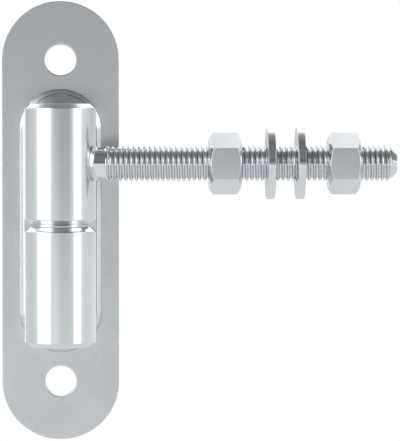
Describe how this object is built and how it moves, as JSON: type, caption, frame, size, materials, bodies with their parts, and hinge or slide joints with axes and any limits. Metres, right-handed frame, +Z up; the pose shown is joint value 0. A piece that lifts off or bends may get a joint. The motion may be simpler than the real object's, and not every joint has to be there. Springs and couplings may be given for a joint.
{
  "type": "gate hinge",
  "caption": "Adjustable lift-off gate hinge: a wall plate carries stacked barrels on a pin, and a threaded rod with nuts and washers clamps the gate frame.",
  "frame": {"origin": "centre of the mounting plate's back face, which lies against the post", "axes": "+Z up along the hinge axis, +X along the rod with the gate closed, +Y into the post"},
  "size_m": [0.1325, 0.0415, 0.15],
  "materials": {
    "plate_steel": "bright zinc plated flat bar",
    "block_steel": "bright zinc plated",
    "barrel_steel": "turned and bright zinc plated",
    "pin_steel": "ground",
    "thrust_washer_steel": "plain rolled sheet",
    "rod_steel": "rolled thread, bright zinc plated",
    "nut_steel": "cold formed, bright zinc plated",
    "washer_steel": "stamped, bright zinc plated",
    "weld_metal": "smooth weld bead, zinc plated over"
  },
  "bodies": {
    "post_side": {"mounting_plate": "plate_steel", "spacer_block": "block_steel", "block_weld": "weld_metal", "lower_barrel": "barrel_steel", "barrel_weld_left": "weld_metal", "barrel_weld_right": "weld_metal", "hinge_pin": "pin_steel"},
    "thrust_ring": {"thrust_washer": "thrust_washer_steel"},
    "gate_side": {"upper_barrel": "barrel_steel", "threaded_rod": "rod_steel", "rod_weld": "weld_metal"},
    "inner_nut": {"inner_nut": "nut_steel"},
    "inner_washer": {"inner_washer": "washer_steel"},
    "outer_washer": {"outer_washer": "washer_steel"},
    "outer_nut": {"outer_nut": "nut_steel"}
  },
  "joints": [
    {"name": "swing", "type": "hinge", "parent": "post_side", "child": "thrust_ring", "pos_m": [0, -0.0295, 0], "axis": [0, 0, -1], "range_deg": [0, 180]},
    {"name": "lift_off", "type": "slide", "parent": "thrust_ring", "child": "gate_side", "axis": [0, 0, 1], "range_m": [0, 0.03]},
    {"name": "inner_nut_travel", "type": "slide", "parent": "gate_side", "child": "inner_nut", "axis": [1, 0, 0], "range_m": [-0.0344, 0.0042]},
    {"name": "inner_washer_travel", "type": "slide", "parent": "gate_side", "child": "inner_washer", "axis": [1, 0, 0], "range_m": [-0.0042, 0.0036]},
    {"name": "outer_washer_travel", "type": "slide", "parent": "gate_side", "child": "outer_washer", "axis": [1, 0, 0], "range_m": [-0.0036, 0.0039]},
    {"name": "outer_nut_travel", "type": "slide", "parent": "gate_side", "child": "outer_nut", "axis": [1, 0, 0], "range_m": [-0.0039, 0.0118]}
  ]
}
